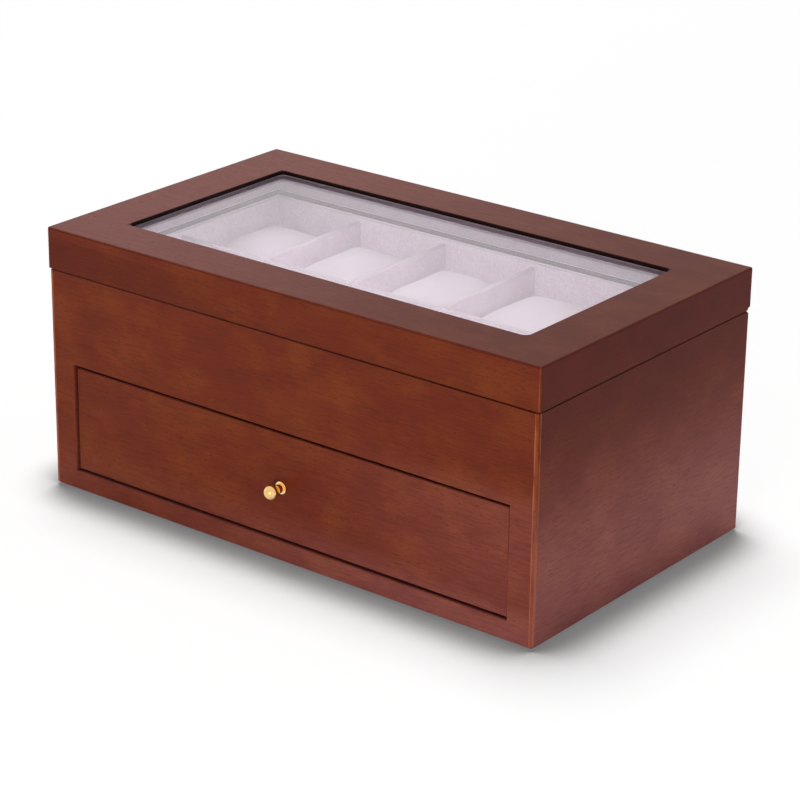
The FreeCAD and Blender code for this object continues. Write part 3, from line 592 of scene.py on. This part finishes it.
def makeCushionCover():
    style = cushionCover
    finish = startFinish("cushion_cover")
    place = finish.place()
    weave = finish.noise(place, 1 / style["weave"], 2, 0.6)
    drift = finish.noise(place, style["drift"], 2)
    cloth = finish.mix(finish.ease(weave * 0.5 + drift * 0.5, 0.3, 0.7), style["deep"], style["pale"])
    rough = style["roughness"] + weave * 0.1
    relief = finish.bump(weave, style["relief"], style["reliefDepth"])
    shader = finish.shine(
        Base_Color=cloth,
        Roughness=rough,
        Normal=relief,
        Sheen_Weight=style["sheen"],
        Specular_IOR_Level=style["shine"],
    )
    return finish.show(shader)


def useModifier(piece, kind, **settings):
    modifier = piece.modifiers.new(kind.lower(), kind)
    for name, setting in settings.items():
        setattr(modifier, name, setting)
    return modifier


def bake(piece):  # the mesh as its modifiers leave it
    graph = bpy.context.evaluated_depsgraph_get()
    made = bpy.data.meshes.new_from_object(piece.evaluated_get(graph))
    piece.modifiers.clear()
    piece.data = made


def swell(piece):  # air pressure in the cover
    start = [vertex.co.copy() for vertex in piece.data.vertices]
    cloth = useModifier(piece, "CLOTH")
    cloth.settings.use_pressure = True
    cloth.settings.uniform_pressure_force = cushionForm["pressure"]
    cloth.settings.effector_weights.gravity = 0
    cloth.point_cache.frame_end = cushionForm["frames"]
    for step in range(1, cushionForm["frames"] + 1):
        scene.frame_set(step)
    bake(piece)
    scene.frame_set(1)
    for vertex, old in zip(piece.data.vertices, start):
        move = vertex.co - old
        if move.length > cushionForm["swell"]:
            vertex.co = old + move.normalized() * cushionForm["swell"]


def seat(name):  # a cushion's box, and the middle of its underside
    low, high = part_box(name)
    return low, high, Vector(((low.x + high.x) / 2, (low.y + high.y) / 2, low.z))


def firstCushion(name):
    low, high, middle = seat(name)
    piece = bpy.data.objects.new("cushion_form", nodes[name].data.copy())
    scene.collection.objects.link(piece)
    for vertex in piece.data.vertices:
        vertex.co = middle + (vertex.co - middle) * cushionForm["shrink"]
    useModifier(piece, "REMESH", mode="VOXEL", voxel_size=cushionForm["voxel"])
    bake(piece)
    swell(piece)
    side, end = cushionForm["sideRoom"], cushionForm["endRoom"]
    for vertex in piece.data.vertices:
        vertex.co.x = min(max(vertex.co.x, low.x - side), high.x + side)
        vertex.co.y = min(max(vertex.co.y, low.y - end), high.y + end)
        vertex.co.z = max(vertex.co.z, low.z)
        vertex.co -= middle
    return piece


def unevenPoint(point, count, side):  # every other cushion is mirrored, and each differs a little
    spot = Vector((point.x * side, point.y, point.z))
    start = Vector((count * cushionForm["unevenStep"], 0, 0))
    drift = noise.noise(spot * cushionForm["unevenScale"] + start) * cushionForm["unevenness"]
    return spot * (1 + drift / cushionForm["unevenReach"])


coverCloth = makeCushionCover()
cushionNames = sorted(name for name in nodes if name.startswith("cushion"))
form = firstCushion(cushionNames[0])
for count, name in enumerate(cushionNames):
    middle = seat(name)[2]
    piece = bpy.data.objects.new("pillow" + name[len("cushion"):], form.data.copy())
    scene.collection.objects.link(piece)
    side = -1 if count % 2 else 1
    for vertex in piece.data.vertices:
        vertex.co = middle + unevenPoint(vertex.co, count, side)
    if side < 0:
        piece.data.flip_normals()
    piece.data.polygons.foreach_set("use_smooth", [True] * len(piece.data.polygons))
    piece.data.materials.clear()
    piece.data.materials.append(coverCloth)
    useModifier(piece, "SUBSURF", levels=1, render_levels=1)
    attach(piece, name)
    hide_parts(name)
bpy.data.objects.remove(form)
print(len(cushionNames), "cushions made")


# floor, light and camera

studio = {
    "white": (1, 1, 1, 1),
    "black": (0, 0, 0, 1),
    "floorSize": 8.0,
    "floorDrop": 0.0004,
    "floorColour": (0.92, 0.92, 0.92, 1),
    "floorGlow": 0.5,
    "contactReach": 0.037,
    "contactDepth": 0.68,
    "contactLean": (-0.4, 0.35, 0.85),
    "contactFull": 0.55,
    "contactSamples": 24,
    "ambient": 0.2,
    "paneNear": 5.5,
    "paneFar": 1.85,
    "paneSide": (0.5, -0.75, 0.43),
    "paneCone": (0.6, 1.0),
    "topLamp": {"strength": 2.8, "spread": 0.5, "at": (-0.22, 0.14, 1.0), "aim": (0, 0, 0)},
    "fillLamp": {"size": 0.9, "at": (1.0, -3.6, 0.34), "power": 61.0, "aim": (0, 0, 0.08)},
    "glintLamp": {"size": 0.22, "at": (0.5, -1.85, 0.2), "power": 8.0, "aim": (0, 0, 0.08)},
}


def seenRays(finish):  # the camera's own rays, and those by way of a mirror or glass
    path = finish.add("ShaderNodeLightPath", output="Is Camera Ray")
    seen = path + path.other("Is Glossy Ray") + path.other("Is Transmission Ray")
    return path, finish.smaller(seen, 1.0)


def makeFloor():
    half, low = studio["floorSize"] / 2, -studio["floorDrop"]
    mesh = bpy.data.meshes.new("floor")
    corners = [(-half, -half, low), (half, -half, low), (half, half, low), (-half, half, low)]
    mesh.from_pydata(corners, [], [(0, 1, 2, 3)])
    floor = bpy.data.objects.new("floor", mesh)
    scene.collection.objects.link(floor)
    finish = startFinish("floor_paper")
    paper = finish.add("ShaderNodeBsdfDiffuse", {}, {"Color": studio["floorColour"]})
    white = finish.add("ShaderNodeEmission", {}, {"Color": studio["white"], "Strength": 1.0})
    seen = seenRays(finish)[1]
    paper = finish.either(seen * studio["floorGlow"], paper, white)
    dark = finish.add("ShaderNodeBsdfDiffuse", {}, {"Color": studio["black"]})
    clear = finish.add(
        "ShaderNodeAmbientOcclusion",
        {"samples": studio["contactSamples"]},
        {"Distance": studio["contactReach"], "Normal": studio["contactLean"]},
        "AO",
    )
    contact = finish.ease(clear, 1.0, studio["contactFull"], 0.0, studio["contactDepth"])
    shadowed = finish.either(contact * seen, paper, dark)  # the shadow deepens at the foot of the box
    mesh.materials.append(finish.show(shadowed))


def makeSky():
    world = bpy.data.worlds.new("studio")
    scene.world = world
    sky = Finish(world)

    def glow(strength):
        return sky.add("ShaderNodeBackground", {}, {"Color": studio["white"], "Strength": strength})

    path, seen = seenRays(sky)
    light = sky.either(seen, glow(studio["ambient"]), glow(1.0))
    toward = sky.add("ShaderNodeTexCoord", output="Generated")
    front = sky.vectors("DOT_PRODUCT", toward, studio["paneSide"], "Value")
    near, far = glow(studio["paneNear"]), glow(studio["paneFar"])
    through = sky.either(sky.ease(front, *studio["paneCone"]), far, near)
    # light that reaches the cushions and lining through the pane
    inside = path.other("Is Transmission Ray") * sky.smaller(path.other("Diffuse Depth"), 1.0)
    sky.show(sky.either(inside, light, through), "ShaderNodeOutputWorld")


def makeLamp(name, kind, settings, glint=False):
    data = bpy.data.lights.new(name, kind)
    lamp = bpy.data.objects.new(name, data)
    scene.collection.objects.link(lamp)
    place, aim = Vector(settings["at"]), Vector(settings["aim"])
    lamp.location = place
    lamp.visible_glossy = glint  # only the small lamp is mirrored, in the knob
    lamp.visible_diffuse = not glint
    lamp.visible_transmission = False
    lamp.rotation_mode = "QUATERNION"
    lamp.rotation_quaternion = (aim - place).to_track_quat("-Z", "Y")
    if kind == "SUN":
        data.energy = settings["strength"]
        data.angle = settings["spread"]
    else:
        data.energy = settings["power"]
        data.size = settings["size"]


makeFloor()
makeSky()
makeLamp("top_lamp", "SUN", studio["topLamp"])
makeLamp("fill_softbox", "AREA", studio["fillLamp"])
makeLamp("knob_glint", "AREA", studio["glintLamp"], True)

cameraView = {
    "azimuth": 37.945,
    "elevation": 21.866,
    "roll": 0.742,
    "lens": 129.55,
    "sensor": 36,
    "slide": (0.004694, 0.058871),
    "distance": 1.596896,
}


def makeCamera():
    style = cameraView
    azimuth, elevation, roll = (math.radians(style[name]) for name in ("azimuth", "elevation", "roll"))
    back = Vector((
        math.sin(azimuth) * math.cos(elevation),
        -math.cos(azimuth) * math.cos(elevation),
        math.sin(elevation),
    ))
    level = Vector((math.cos(azimuth), math.sin(azimuth), 0))
    rise = back.cross(level)
    right = level * math.cos(roll) + rise * math.sin(roll)
    up = rise * math.cos(roll) - level * math.sin(roll)
    data = bpy.data.cameras.new("camera")
    data.sensor_width = style["sensor"]
    data.lens = style["lens"]
    camera = bpy.data.objects.new("camera", data)
    scene.collection.objects.link(camera)
    camera.matrix_world = Matrix((right, up, back)).transposed().to_4x4()
    camera.location = right * style["slide"][0] + up * style["slide"][1] + back * style["distance"]
    scene.camera = camera


makeCamera()
print("floor, lamps and camera set")
